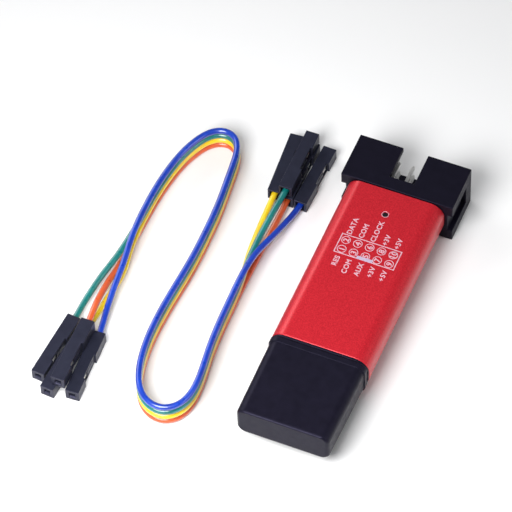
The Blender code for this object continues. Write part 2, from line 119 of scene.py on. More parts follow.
# Bezel between the sleeve and the cap
BEZEL_FIT = 0.1 * MM
BEZEL_EDGE = 0.06 * MM
BEZEL_SEAT_GAP = 0.02 * MM

# Cap
CAP_LIP_LENGTH = 1.05 * MM
CAP_LIP_EDGE = 0.1 * MM
CAP_BODY_WIDTH = 16.8 * MM
CAP_BODY_HEIGHT = 6.5 * MM
CAP_END_WIDTH = 16.4 * MM
CAP_END_HEIGHT = 6.2 * MM
CAP_CORNER = 1.6 * MM
CAP_END_ROUND = 0.75 * MM
CAP_END_STEPS = 6
CAP_TOP_ROUND = 0.28 * MM
CAP_POCKET_WIDTH = 12.7 * MM
CAP_POCKET_HEIGHT = 5.0 * MM
CAP_END_WALL = 0.8 * MM
CAP_MOUTH_WIDENING = 0.25 * MM
CAP_MOUTH_DEPTH = 0.4 * MM

# USB plug
PLUG_WALL = 0.3 * MM
PLUG_CORNER = 0.5 * MM
PLUG_WINDOW = 2.5 * MM
PLUG_WINDOW_X = 2.9 * MM
PLUG_WINDOW_FROM_TIP = 6.2 * MM
PLUG_LEAD_IN = 0.12 * MM
PLUG_SEAM = 0.1 * MM
PLUG_EDGE = 0.03 * MM

# Jumper lead
COLOURS = ("blue", "green", "yellow", "orange")
WIRE_DIAMETER = 1.1 * MM
WIRE_PITCH = 1.25 * MM
WIRE_POINT_SPACING = 0.7 * MM
WIRE_INSET = 0.3 * MM
WIRE_INSERTION = 2.4 * MM
WEB_THICKNESS = 0.42 * MM
WEB_OVERLAP = 0.07 * MM
WEB_POINTS_LEFT_OFF = 8
WEB_TAPER_POINTS = 5
FINE_STEPS = 24

# Crimp sockets, along +Y from the wire entry at 0 to the open end
SOCKET_SIZE = 2.4 * MM
SOCKET_LENGTH = 12.8 * MM
SOCKET_BORE = 1.66 * MM
SOCKET_BORE_ROOF = 0.72 * MM
SOCKET_MOUTH = 0.8 * MM
SOCKET_MOUTH_DEPTH = 3.0 * MM
SOCKET_FUNNEL = 1.25 * MM
SOCKET_FUNNEL_DEPTH = 0.4 * MM
RECESS_DEPTH = 0.34 * MM
RECESS_START = 4.7 * MM
RECESS_END = 9.6 * MM
WINDOW_WIDTH = 1.5 * MM
WINDOW_START = 7.9 * MM
WINDOW_END = 9.5 * MM
LATCH_SLIT = 0.2 * MM
LATCH_START = 5.6 * MM
SOCKET_EDGE = 0.07 * MM

# Crimp terminals, in the socket's own frame: the square receptacle between two distances
# from the wire entry, then the neck and the barrel as pairs of distance and half width
RECEPTACLE_START = 6.0 * MM
RECEPTACLE_END = 9.4 * MM
RECEPTACLE_OUTER = 0.64 * MM
RECEPTACLE_INNER = 0.50 * MM
TERMINAL_NECK = ((3.2 * MM, 0.55 * MM), (4.6 * MM, 0.55 * MM), (5.0 * MM, 0.42 * MM),
                 (5.6 * MM, 0.42 * MM), (6.1 * MM, 0.56 * MM))
TERMINAL_BARREL = ((1.7 * MM, 0.76 * MM), (3.0 * MM, 0.76 * MM), (3.0 * MM, 0.66 * MM),
                   (1.7 * MM, 0.66 * MM))

# Height of each wire's middle while the flat ribbon stands on its edge, in millimetres
LOWEST_WIRE_Z = 0.60
RIBBON_Z = {
    colour: LOWEST_WIRE_Z + row * WIRE_PITCH / MM
    for row, colour in enumerate(("orange", "yellow", "green", "blue"))
}

# Route of the ribbon that all four wires share, x and y in millimetres
RIBBON_ROUTE = [
    (-39.8, 3.7), (-39.8, 10.4), (-38.9, 17.4), (-37.4, 21.6), (-35.8, 24.2), (-33.5, 25.4),
    (-31.0, 24.6), (-29.7, 21.8), (-29.2, 17.0), (-28.5, 11.4), (-28.2, 6.7), (-28.0, -2.2),
    (-28.6, -9.7), (-28.8, -17.4), (-28.1, -23.8), (-26.3, -29.1), (-23.2, -31.8),
    (-19.6, -31.7), (-17.3, -28.5), (-17.3, -23.6), (-18.3, -17.6), (-18.7, -11.8),
    (-18.8, -7.4), (-19.0, -3.0),
]

# Each wire's own routes from its socket to the ribbon and from the ribbon to its other
# socket, with heights, in millimetres. The first and last points are at the sockets.
LEFT_ROUTES = {
    "green": [(-42.4, -18.6, 1.2), (-42.4, -15.4, 1.3), (-41.9, -10.5, 1.7),
              (-41.2, -7.4, 2.2), (-40.5, -4.8, 2.7), (-40.1, -1.2, 3.1)],
    "orange": [(-39.1, -19.9, 3.62), (-39.7, -16.4, 3.5), (-40.1, -10.8, 2.2),
               (-40.1, -7.5, 1.2), (-40.2, -4.9, 0.7), (-40.0, -1.3, 0.6)],
    "yellow": [(-39.8, -20.9, 1.2), (-39.5, -17.4, 1.1), (-38.9, -10.5, 1.0),
               (-38.6, -7.4, 1.3), (-39.0, -4.8, 1.6), (-39.6, -1.3, 1.85)],
    "blue": [(-37.2, -20.0, 1.2), (-37.9, -16.4, 1.5), (-38.5, -11.7, 2.4),
             (-38.7, -7.3, 3.2), (-39.0, -4.7, 3.6), (-39.5, -1.2, 4.35)],
}
RIGHT_ROUTES = {
    "yellow": [(-19.6, 0.7, 1.8), (-20.2, 3.6, 1.8), (-20.7, 8.0, 1.5), (-21.1, 13.5, 1.2),
               (-21.25, 17.35, 1.2)],
    "green": [(-19.3, 0.8, 3.1), (-19.6, 3.7, 3.0), (-19.6, 8.1, 3.2), (-19.3, 13.6, 3.6),
              (-19.05, 17.1, 3.62)],
    "orange": [(-19.0, 0.7, 0.6), (-19.0, 3.6, 0.6), (-18.9, 8.0, 0.8), (-18.7, 13.4, 1.2),
               (-18.76, 16.8, 1.2)],
    "blue": [(-18.8, 0.9, 4.35), (-18.6, 3.8, 3.9), (-17.8, 8.0, 2.8), (-16.9, 13.1, 1.6),
             (-16.25, 16.8, 1.2)],
}

# How far each socket's open end leans towards +X. The left sockets open towards -Y and the
# right ones towards +Y, and every window faces +X.
LEFT_LEAN = {"green": -0.9 * MM, "orange": 0.15 * MM, "yellow": -0.85 * MM, "blue": 0.75 * MM}
RIGHT_LEAN = {"yellow": -1.0 * MM, "green": -0.1 * MM, "orange": -0.15 * MM, "blue": 0.4 * MM}

# Studio: place and width of each round light in millimetres, and its power in watts
LIGHTS = (
    ("key_light", (-30, -100, 125), 100, 0.36),
    ("top_light", (0, -110, 290), 220, 0.14),
    ("left_light", (-360, 120, 220), 260, 0.50),
    ("right_light", (480, 60, 260), 300, 0.70),
    ("streak_light", (-300, 260, 285), 130, 0.15),
)
LIGHT_TARGET = Vector((-12, -5, 4)) * MM
SURROUNDINGS_COLOUR = (0.93, 0.95, 1.0, 1.0)
SURROUNDINGS_STRENGTH = 0.15
FLOOR_REACH = 2.5
FLOOR_Z = -0.05 * MM


# ---------------------------------------------------------------- materials

def finish(name, colour, roughness, metallic=0.0, coat=0.0, coat_roughness=0.2, specular=0.5,
           sheen=(1.0, 1.0, 1.0)):
    """A Principled material with nothing linked yet. The sheen tints its reflections."""
    made = bpy.data.materials.new(name)
    made.use_nodes = True
    shader = made.node_tree.nodes["Principled BSDF"]
    shader.inputs["Base Color"].default_value = (*colour, 1.0)
    shader.inputs["Roughness"].default_value = roughness
    shader.inputs["Metallic"].default_value = metallic
    shader.inputs["Coat Weight"].default_value = coat
    shader.inputs["Coat Roughness"].default_value = coat_roughness
    shader.inputs["Specular IOR Level"].default_value = specular
    shader.inputs["Specular Tint"].default_value = (*sheen, 1.0)
    made.diffuse_color = (*colour, 1.0)
    return made


def noise(made, feature, detail=3.0, stretch=(1.0, 1.0, 1.0)):
    """Noise in the object's own coordinates, with features of about that size in metres."""
    nodes, links = made.node_tree.nodes, made.node_tree.links
    where = nodes.new("ShaderNodeTexCoord")
    scaled = nodes.new("ShaderNodeMapping")
    scaled.inputs["Scale"].default_value = [1.0 / share for share in stretch]
    pattern = nodes.new("ShaderNodeTexNoise")
    pattern.inputs["Scale"].default_value = 1.0 / feature
    pattern.inputs["Detail"].default_value = detail
    links.new(where.outputs["Object"], scaled.inputs["Vector"])
    links.new(scaled.outputs["Vector"], pattern.inputs["Vector"])
    return pattern.outputs["Fac"]


def vary_colour(made, source, darker, lighter):
    """Base colour that wanders between two colours with the source."""
    nodes, links = made.node_tree.nodes, made.node_tree.links
    ramp = nodes.new("ShaderNodeValToRGB")
    ramp.color_ramp.elements[0].position = 0.3
    ramp.color_ramp.elements[0].color = (*darker, 1.0)
    ramp.color_ramp.elements[1].position = 0.7
    ramp.color_ramp.elements[1].color = (*lighter, 1.0)
    links.new(source, ramp.inputs["Fac"])
    links.new(ramp.outputs["Color"], nodes["Principled BSDF"].inputs["Base Color"])


def vary_roughness(made, source, low, high):
    """Roughness that wanders between two values with the source."""
    nodes, links = made.node_tree.nodes, made.node_tree.links
    spread = nodes.new("ShaderNodeMapRange")
    spread.inputs["From Min"].default_value = 0.3
    spread.inputs["From Max"].default_value = 0.7
    spread.inputs["To Min"].default_value = low
    spread.inputs["To Max"].default_value = high
    links.new(source, spread.inputs["Value"])
    links.new(spread.outputs["Result"], nodes["Principled BSDF"].inputs["Roughness"])


def roughen(made, sources, depth):
    """Bump from one or more noises, each later one on top of the one before."""
    nodes, links = made.node_tree.nodes, made.node_tree.links
    below = None
    for source, share in sources:
        bump = nodes.new("ShaderNodeBump")
        bump.inputs["Strength"].default_value = 1.0
        bump.inputs["Distance"].default_value = depth * share
        links.new(source, bump.inputs["Height"])
        if below is not None:
            links.new(below, bump.inputs["Normal"])
        below = bump.outputs["Normal"]
    links.new(below, nodes["Principled BSDF"].inputs["Normal"])


def anodised_finish():
    """Bead-blasted aluminium under a clear red oxide."""
    made = finish("red_anodised", (0.54, 0.008, 0.020), 0.42, metallic=0.35, coat=0.30,
                  coat_roughness=0.18)
    speckle = noise(made, 0.22 * MM)
    vary_colour(made, speckle, (0.46, 0.007, 0.017), (0.66, 0.015, 0.029))
    vary_roughness(made, speckle, 0.36, 0.50)
    roughen(made, [(noise(made, 0.25 * MM), 1.0), (speckle, 0.5)], 0.012 * MM)
    return made


def moulded_finish(name, colour, roughness, grain, depth, specular=0.5):
    """Moulded black plastic with a bluish sheen: a fine spark-eroded grain and a faint
    unevenness in gloss."""
    made = finish(name, colour, roughness, specular=specular, sheen=(0.66, 0.62, 1.0))
    lighter = tuple(min(1.0, 1.35 * part) for part in colour)
    vary_colour(made, noise(made, 1.6 * MM, 4.0), colour, lighter)
    vary_roughness(made, noise(made, 0.9 * MM), roughness - 0.05, roughness + 0.07)
    roughen(made, [(noise(made, grain), 1.0), (noise(made, 4 * grain, 2.0), 0.6)], depth)
    return made


def plated_finish(name, colour, roughness, metallic=1.0):
    """Rolled and plated metal, with a fine grain drawn out along Y."""
    made = finish(name, colour, roughness, metallic=metallic)
    drawn = noise(made, 0.07 * MM, stretch=(1.0, 9.0, 1.0))
    vary_colour(made, noise(made, 0.8 * MM), tuple(0.86 * part for part in colour), colour)
    vary_roughness(made, drawn, roughness - 0.06, roughness + 0.10)
    roughen(made, [(drawn, 1.0)], 0.006 * MM)
    return made


def insulation_finish(name, darker, lighter):
    """Soft glossy PVC, a little uneven where the extruder left it."""
    made = finish(name, lighter, 0.30, coat=1.0, coat_roughness=0.09)
    vary_colour(made, noise(made, 2.5 * MM), darker, lighter)
    vary_roughness(made, noise(made, 0.8 * MM), 0.26, 0.36)
    roughen(made, [(noise(made, 1.6 * MM, 1.0), 1.0)], 0.012 * MM)
    return made


def plain_finish(name, darker, lighter, roughness, feature, depth):
    """A small part's material with its own mottling and grain."""
    made = finish(name, lighter, roughness)
    vary_colour(made, noise(made, feature), darker, lighter)
    vary_roughness(made, noise(made, 0.5 * feature, 2.0), roughness - 0.06, roughness + 0.06)
    roughen(made, [(noise(made, 0.4 * feature), 1.0)], depth)
    return made


# ---------------------------------------------------------------- mesh helpers

def rounded_ring(y, width, height, mid_x, mid_z, corner, steps=8):
    """A rounded rectangle in the XZ plane at y, as points in order."""
    points = []
    corners = (
        (width / 2 - corner, height / 2 - corner, 0),
        (corner - width / 2, height / 2 - corner, 90),
        (corner - width / 2, corner - height / 2, 180),
        (width / 2 - corner, corner - height / 2, 270),
    )
    for x, z, start in corners:
        for i in range(steps + 1):
            angle = math.radians(start + 90 * i / steps)
            points.append((mid_x + x + corner * math.cos(angle), y,
                           mid_z + z + corner * math.sin(angle)))
    return points


def skinned(rings, hollow=False):
    """A closed mesh through rings of points. A hollow one joins its last ring to its first,
    and any other is capped at both ends."""
    work = bmesh.new()
    loops = [[work.verts.new(point) for point in ring] for ring in rings]
    pairs = list(zip(loops, loops[1:]))
    if hollow:
        pairs.append((loops[-1], loops[0]))
    for first, second in pairs:
        for i in range(len(first)):
            j = (i + 1) % len(first)
            work.faces.new((first[i], first[j], second[j], second[i]))
    if not hollow:
        work.faces.new(loops[0])
        work.faces.new(loops[-1])
    bmesh.ops.recalc_face_normals(work, faces=work.faces)
    mesh = bpy.data.meshes.new("skin")
    work.to_mesh(mesh)
    work.free()
    return mesh


def box_mesh(low, high):
    """A box between two corners."""
    rings = []
    for y in (low[1], high[1]):
        rings.append([(low[0], y, low[2]), (high[0], y, low[2]),
                      (high[0], y, high[2]), (low[0], y, high[2])])
    return skinned(rings)


def square_taper(y0, half0, y1, half1):
    """A square frustum along Y, around x = z = 0."""
    rings = [[(-half, y, -half), (half, y, -half), (half, y, half), (-half, y, half)]
             for y, half in ((y0, half0), (y1, half1))]
    return skinned(rings)


def turned_mesh(centre, profile, sides=32, hollow=False):
    """A solid turned about the vertical through centre, from (radius, z) pairs."""
    rings = []
    for radius, z in profile:
        rings.append([(centre[0] + radius * math.cos(2 * math.pi * i / sides),
                       centre[1] + radius * math.sin(2 * math.pi * i / sides), z)
                      for i in range(sides)])
    return skinned(rings, hollow)


def carved(mesh, cutters):
    """The mesh with the cutters taken out of it, one after another."""
    target = bpy.data.objects.new("carving", mesh)
    bpy.context.scene.collection.objects.link(target)
    helpers = []
    for cutter in cutters:
        helper = bpy.data.objects.new("cutter", cutter)
        bpy.context.scene.collection.objects.link(helper)
        helpers.append(helper)
        step = target.modifiers.new("carve", "BOOLEAN")
        step.operation = "DIFFERENCE"
        step.solver = "EXACT"
        step.object = helper
    bpy.context.view_layer.update()
    view = bpy.context.evaluated_depsgraph_get()
    result = bpy.data.meshes.new_from_object(target.evaluated_get(view))
    for item in (target, *helpers):
        bpy.data.objects.remove(item)
    return result


def joined(meshes):
    """Several meshes as one, each staying a body of its own."""
    work = bmesh.new()
    for mesh in meshes:
        work.from_mesh(mesh)
    result = bpy.data.meshes.new("joined")
    work.to_mesh(result)
    work.free()
    return result


def piece(name, mesh, material, body, replaces=(), place=None):
    """Adds a mesh as a named piece of the object, riding on a body."""
    mesh.name = name
    mesh.materials.clear()
    mesh.materials.append(material)
    if place is not None:
        mesh.transform(place)
    mesh.shade_smooth()
    mesh.set_sharp_from_angle(angle=math.radians(SHARP_ANGLE))
    made = bpy.data.objects.new(name, mesh)
    bpy.context.scene.collection.objects.link(made)
    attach(made, body)
    if replaces:
        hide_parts(*replaces)
    return made


def even_flats(item):
    """Keeps flat faces flat in smooth shading."""
    item.modifiers.new("even flats", "WEIGHTED_NORMAL").keep_sharp = True


def soften(item, width, segments=3, angle=SHARP_ANGLE):
    """Rounds the sharp edges by that width, with the flats left flat."""
    bevel = item.modifiers.new("edge rounding", "BEVEL")
    bevel.width = width
    bevel.segments = segments
    bevel.limit_method = "ANGLE"
    bevel.angle_limit = math.radians(angle)
    bevel.use_clamp_overlap = False
    bevel.harden_normals = True
    even_flats(item)


# ---------------------------------------------------------------- the programmer

def sleeve(material):
    """Extruded tube with chamfered ends, board grooves and a countersunk LED hole."""
    low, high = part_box("aluminium_sleeve")
    width, height = high.x - low.x, high.z - low.z
    mid_x, mid_z = (low.x + high.x) / 2, (low.z + high.z) / 2
    board_low, board_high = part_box("circuit_board")

    def ring(y, inset):
        return rounded_ring(y, width - 2 * inset, height - 2 * inset, mid_x, mid_z,
                            SLEEVE_CORNER - inset, 12)

    mesh = skinned([
        ring(low.y, SLEEVE_CHAMFER), ring(low.y + SLEEVE_CHAMFER, 0),
        ring(high.y - SLEEVE_CHAMFER, 0), ring(high.y, SLEEVE_CHAMFER),
        ring(high.y, SLEEVE_WALL), ring(low.y, SLEEVE_WALL),
    ], hollow=True)
    groove = box_mesh((board_low.x - BOARD_PLAY, low.y - BEYOND, board_low.z - BOARD_PLAY),
                      (board_high.x + BOARD_PLAY, high.y + BEYOND, board_high.z + BOARD_PLAY))
    rim_radius = LED_HOLE_RADIUS + LED_COUNTERSINK
    hole = turned_mesh((0, LED_Y), [
        (LED_HOLE_RADIUS, high.z - SLEEVE_WALL - BEYOND),
        (LED_HOLE_RADIUS, high.z - LED_COUNTERSINK),
        (rim_radius, high.z), (rim_radius, high.z + BEYOND)])
    made = piece("sleeve_shell", carved(mesh, [groove, hole]), material, "programmer",
                 ["aluminium_sleeve"])
    even_flats(made)


def light_pipe(material):
    """Near-black plastic plug in the LED hole, with a low dome on top. Its colour is painted shade
    for the dark inside of the hole.
    """
    sleeve_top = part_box("aluminium_sleeve")[1].z
    shoulder = sleeve_top - HOLE_SHADE_PLUG_DROP
    bottom = sleeve_top - SLEEVE_WALL - HOLE_SHADE_PLUG_BELOW_WALL
    profile = [(0.8 * HOLE_SHADE_PLUG_RADIUS, bottom), (HOLE_SHADE_PLUG_RADIUS, bottom + 0.1 * MM)]
    for step in range(9):
        angle = math.radians(10 * step)
        profile.append((HOLE_SHADE_PLUG_RADIUS * math.cos(angle),
                        shoulder + HOLE_SHADE_PLUG_DOME * math.sin(angle)))
    piece("light_pipe", turned_mesh((0, LED_Y), profile), material, "programmer")


def flat_shape(outline, top):
    """A thin printed shape over an outline of (x, y) points."""
    rings = [[(x, y, z) for x, y in outline]
             for z in (top - PRINT_SINK, top - PRINT_SINK + PRINT_DEPTH)]
    return skinned(rings)


def printed_bar(low, high, top):
    """A thin printed rectangle between two (x, y) corners."""
    return flat_shape([(low[0], low[1]), (high[0], low[1]), (high[0], high[1]),
                       (low[0], high[1])], top)


def printed_ring(centre, inner, outer, top):
    """A thin printed ring."""
    low_z, high_z = top - PRINT_SINK, top - PRINT_SINK + PRINT_DEPTH
    profile = ((inner, low_z), (outer, low_z), (outer, high_z), (inner, high_z))
    return turned_mesh(centre, profile, 40, hollow=True)


def printed_text(words, size, anchor, centre_x, y, top):
    """Words that read towards +Y with their tops towards -X. The anchor LEFT starts them at
    y, RIGHT ends them there and CENTER puts their middle there."""
    curve = bpy.data.curves.new("words", "FONT")
    curve.body = words
    curve.size = size
    curve.align_x = anchor
    curve.extrude = PRINT_DEPTH / 2
    curve.offset = LETTER_BOLDNESS
    curve.space_character = LETTER_SPACING
    curve.resolution_u = 3
    holder = bpy.data.objects.new("words", curve)
    bpy.context.scene.collection.objects.link(holder)
    bpy.context.view_layer.update()
    view = bpy.context.evaluated_depsgraph_get()
    mesh = bpy.data.meshes.new_from_object(holder.evaluated_get(view))
    bpy.data.objects.remove(holder)
    baseline = centre_x + CAPITAL_SHARE * size / 2
    middle_z = top - PRINT_SINK + PRINT_DEPTH / 2
    mesh.transform(Matrix.Translation((baseline, y, middle_z))
                   @ Matrix.Rotation(math.pi / 2, 4, "Z"))
    return mesh


def label(white, pale):
    """The table, its circled numbers and names, and the ring around the LED."""
    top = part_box("aluminium_sleeve")[1].z
    line = TABLE_LINE / 2
    left, right, near, far = TABLE_LOW.x, TABLE_HIGH.x, TABLE_LOW.y, TABLE_HIGH.y
    shapes = [
        printed_bar((left - line, near - line), (right + line, near + line), top),
        printed_bar((left - line, far - line), (right + line, far + line), top),
        printed_bar((left - line, near + line), (left + line, far - line), top),
        printed_bar((right - line, near + line), (right + line, far - line), top),
        printed_ring((0, LED_Y), LED_RING_INNER, LED_RING_OUTER, top),
    ]
    for column, x in enumerate(COLUMN_X):
        for row_y, number in ((ODD_ROW_Y, 2 * column + 1), (EVEN_ROW_Y, 2 * column + 2)):
            shapes.append(printed_ring((x, row_y), CIRCLE_RADIUS - CIRCLE_LINE, CIRCLE_RADIUS, top))
            shapes.append(printed_text(str(number), NUMBER_SIZE, "CENTER", x, row_y, top))
        shapes.append(printed_text(NAMES_EVEN[column], NAME_SIZE, "LEFT", x + NAME_SHIFT_X,
                                   far + NAME_GAP_EVEN, top))
        shapes.append(printed_text(NAMES_ODD[column], NAME_SIZE, "RIGHT", x + NAME_SHIFT_X,
                                   near - NAME_GAP_ODD, top))
    piece("label_print", joined(shapes), white, "programmer")
    mark = printed_bar(KEY_MARK_LOW, KEY_MARK_HIGH, top)
    mark.transform(Matrix.Translation((0, 0, PRINT_SINK / 2)))
    piece("label_key_mark", mark, pale, "programmer")


def header(material):
    """Shroud with its cavity, key slot, pin holes and the recess in each end wall."""
    low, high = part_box("header_housing")
    mid_z = (low.z + high.z) / 2
    floor_y = low.y + HEADER_BASE
    cutters = [
        box_mesh((-CAVITY_WIDTH / 2, floor_y, mid_z - CAVITY_HEIGHT / 2),
                 (CAVITY_WIDTH / 2, high.y + BEYOND, mid_z + CAVITY_HEIGHT / 2)),
        box_mesh((-KEY_SLOT_WIDTH / 2, floor_y, mid_z),
                 (KEY_SLOT_WIDTH / 2, high.y + BEYOND, high.z + BEYOND)),
    ]
    for side in (-1, 1):
        near = side * (high.x - END_RECESS_DEPTH)
        far = side * (high.x + BEYOND)
        cutters.append(box_mesh(
            (min(near, far), low.y - BEYOND, mid_z - END_RECESS_HEIGHT / 2),
            (max(near, far), low.y + END_RECESS_LENGTH, mid_z + END_RECESS_HEIGHT / 2)))
    for column in (-2, -1, 0, 1, 2):
        for row in (-0.5, 0.5):
            x, z = column * PIN_PITCH, mid_z + row * PIN_PITCH
            cutters.append(box_mesh((x - PIN_HOLE / 2, low.y - BEYOND, z - PIN_HOLE / 2),
                                    (x + PIN_HOLE / 2, floor_y + BEYOND, z + PIN_HOLE / 2)))
    made = piece("header_shroud", carved(box_mesh(low, high), cutters), material, "programmer",
                 ["header_housing"])
    soften(made, HEADER_EDGE)


def bezel(material):
    """Plastic frame around the plug, with a thin flange outside the sleeve."""
    low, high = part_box("end_bezel")
    sleeve_low, sleeve_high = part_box("aluminium_sleeve")
    plug_low, plug_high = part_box("usb_plug_shell")
    mid_z = (low.z + high.z) / 2
    width, height = high.x - low.x, high.z - low.z
    inner = SLEEVE_WALL + BEZEL_FIT
    spigot_width = sleeve_high.x - sleeve_low.x - 2 * inner
    spigot_height = sleeve_high.z - sleeve_low.z - 2 * inner
    hole_width = plug_high.x - plug_low.x + 2 * BEZEL_FIT
    hole_height = plug_high.z - plug_low.z + 2 * BEZEL_FIT
    seat_y = sleeve_low.y - BEZEL_SEAT_GAP
    spigot_corner = SLEEVE_CORNER - SLEEVE_WALL
    hole_corner = PLUG_CORNER + BEZEL_FIT
    rings = [
        rounded_ring(low.y, width - 2 * BEZEL_EDGE, height - 2 * BEZEL_EDGE, 0, mid_z,
                     SLEEVE_CORNER - BEZEL_EDGE),
        rounded_ring(low.y + BEZEL_EDGE, width, height, 0, mid_z, SLEEVE_CORNER),
        rounded_ring(seat_y, width, height, 0, mid_z, SLEEVE_CORNER),
        rounded_ring(seat_y, spigot_width, spigot_height, 0, mid_z, spigot_corner),
        rounded_ring(high.y, spigot_width, spigot_height, 0, mid_z, spigot_corner),
        rounded_ring(high.y, hole_width, hole_height, 0, mid_z, hole_corner),
        rounded_ring(low.y, hole_width, hole_height, 0, mid_z, hole_corner),
    ]
    piece("plug_bezel", skinned(rings, hollow=True), material, "programmer",
          ["end_bezel"])


def plug_shell(material):
    """Pressed steel shell with two latch windows above and its folded seam below."""
    low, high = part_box("usb_plug_shell")
    width, height = high.x - low.x, high.z - low.z
    mid_z = (low.z + high.z) / 2
    inner_width, inner_height = width - 2 * PLUG_WALL, height - 2 * PLUG_WALL
    inner_corner = PLUG_CORNER - PLUG_WALL
    mesh = skinned([
        rounded_ring(low.y, width - 2 * PLUG_LEAD_IN, height - 2 * PLUG_LEAD_IN, 0, mid_z,
                     PLUG_CORNER - PLUG_LEAD_IN, 6),
        rounded_ring(low.y + 2 * PLUG_LEAD_IN, width, height, 0, mid_z, PLUG_CORNER, 6),
        rounded_ring(high.y, width, height, 0, mid_z, PLUG_CORNER, 6),
        rounded_ring(high.y, inner_width, inner_height, 0, mid_z, inner_corner, 6),
        rounded_ring(low.y, inner_width, inner_height, 0, mid_z, inner_corner, 6),
    ], hollow=True)
    half = PLUG_WINDOW / 2
    window_y = low.y + PLUG_WINDOW_FROM_TIP
    cutters = [
        box_mesh((x - half, window_y - half, mid_z), (x + half, window_y + half, high.z + BEYOND))
        for x in (-PLUG_WINDOW_X, PLUG_WINDOW_X)
    ]
    cutters.append(box_mesh((-PLUG_SEAM / 2, low.y - BEYOND, low.z - BEYOND),
                            (PLUG_SEAM / 2, high.y + BEYOND, low.z + 0.5 * PLUG_WALL)))
    made = piece("plug_shell", carved(mesh, cutters), material, "programmer",
                 ["usb_plug_shell"])
    soften(made, PLUG_EDGE, 2, 50.0)


def cap(material):
    """Push-on cap: rounded closed end, tapered body, lip at the mouth and a pocket inside."""
    low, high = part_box("usb_cap")
    plug_low, plug_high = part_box("usb_plug_shell")
    pocket_z = (plug_low.z + plug_high.z) / 2
    body_top = high.z - (high.z - low.z - CAP_BODY_HEIGHT) / 2
    lip_width, lip_height = high.x - low.x, high.z - low.z
    lip_y = high.y - CAP_LIP_LENGTH
    steps = 10

    def outside(y, width, height, corner, top):
        return rounded_ring(y, width, height, 0, top - height / 2, corner, steps)

    def end_ring(share):
        """One ring of the rounded closed end, from 0 on the end face to 1 on the sides."""
        angle = share * math.pi / 2
        inset = CAP_END_ROUND * (1 - math.sin(angle))
        top_inset = CAP_TOP_ROUND * (1 - math.sin(angle))
        return outside(low.y + CAP_END_ROUND * (1 - math.cos(angle)), CAP_END_WIDTH - 2 * inset,
                       CAP_END_HEIGHT - inset - top_inset, CAP_CORNER - inset,
                       body_top - top_inset)

    def pocket(y, widening=0.0):
        return rounded_ring(y, CAP_POCKET_WIDTH + 2 * widening, CAP_POCKET_HEIGHT + 2 * widening,
                            0, pocket_z, PLUG_CORNER + widening, steps)

    edge = CAP_LIP_EDGE
    rings = [end_ring(i / CAP_END_STEPS) for i in range(CAP_END_STEPS + 1)]
    rings += [
        outside(lip_y - edge, CAP_BODY_WIDTH, CAP_BODY_HEIGHT, CAP_CORNER, body_top),
        outside(lip_y, CAP_BODY_WIDTH + edge, CAP_BODY_HEIGHT + edge / 2, CAP_CORNER,
                body_top + edge / 4),
        outside(lip_y, lip_width - edge, lip_height - edge, CAP_CORNER, high.z - edge / 2),
        outside(lip_y + edge / 2, lip_width, lip_height, CAP_CORNER, high.z),
        outside(high.y - edge, lip_width, lip_height, CAP_CORNER, high.z),
        outside(high.y, lip_width - 2 * edge, lip_height - 2 * edge, CAP_CORNER - edge,
                high.z - edge),
        pocket(high.y, CAP_MOUTH_WIDENING),
        pocket(high.y - CAP_MOUTH_DEPTH),
        pocket(low.y + CAP_END_WALL),
    ]
    made = piece("cap_shell", skinned(rings), material, "cap", ["usb_cap"])
    even_flats(made)


def dress_cad_node(node, material, edge_width):
    """Gives a small CAD part a material and rounded edges, and leaves its mesh alone."""
    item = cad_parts[node]
    item.data.materials.clear()
    item.data.materials.append(material)
    weld = item.modifiers.new("closed mesh", "WELD")
    weld.merge_threshold = 0.0005 * MM
    soften(item, edge_width, 2)


def small_parts(finishes):
    """The CAD parts that stay: pins, plug tongue and contacts, the board and its parts."""
    for number in range(1, 11):
        dress_cad_node(f"header_pin_{number}", finishes["tin"], 0.11 * MM)
    dress_cad_node("usb_tongue", finishes["tongue"], 0.12 * MM)
    for number in range(1, 5):
        dress_cad_node(f"usb_contact_{number}", finishes["gold"], 0.04 * MM)
    dress_cad_node("circuit_board", finishes["board"], 0.05 * MM)
    for node in ("microcontroller", "voltage_regulator"):
        dress_cad_node(node, finishes["resin"], 0.08 * MM)
    for node in ("led_resistor", "data_resistor", "clock_resistor"):
        dress_cad_node(node, finishes["resin"], 0.04 * MM)
    for node in ("supply_capacitor", "input_capacitor"):
        dress_cad_node(node, finishes["ceramic"], 0.08 * MM)
    dress_cad_node("crystal", finishes["steel"], 0.15 * MM)
    dress_cad_node("status_led", finishes["lens"], 0.10 * MM)


# ---------------------------------------------------------------- the jumper lead

def smooth_route(route, spacing):
    """Points at an even spacing along a cubic B-spline that starts and ends at the route's
    own ends and is led by the points between them."""
    guides = [Vector(point) for point in route]
    guides = [2 * guides[0] - guides[1]] + guides + [2 * guides[-1] - guides[-2]]
    fine = []
    for p0, p1, p2, p3 in zip(guides, guides[1:], guides[2:], guides[3:]):
        for step in range(FINE_STEPS):
            t = step / FINE_STEPS
            fine.append(((1 - t) ** 3 * p0 + (3 * t ** 3 - 6 * t ** 2 + 4) * p1
                         + (-3 * t ** 3 + 3 * t ** 2 + 3 * t + 1) * p2 + t ** 3 * p3) / 6)
    fine.append(guides[-2])
    travelled = [0.0]
    for first, second in zip(fine, fine[1:]):
        travelled.append(travelled[-1] + (second - first).length)
    count = round(travelled[-1] / spacing)
    points = []
    index = 0
    for i in range(count + 1):
        wanted = travelled[-1] * i / count
        while index < len(fine) - 2 and travelled[index + 1] < wanted:
            index += 1
        stretch = travelled[index + 1] - travelled[index]
        points.append(fine[index].lerp(fine[index + 1], (wanted - travelled[index]) / stretch))
    return points


def wire_route(colour):
    """The whole route of one wire in metres, from its left socket to its right socket."""
    ribbon = [(x, y, RIBBON_Z[colour]) for x, y in RIBBON_ROUTE]
    route = LEFT_ROUTES[colour] + ribbon + RIGHT_ROUTES[colour]
    return [Vector(point) * MM for point in route]


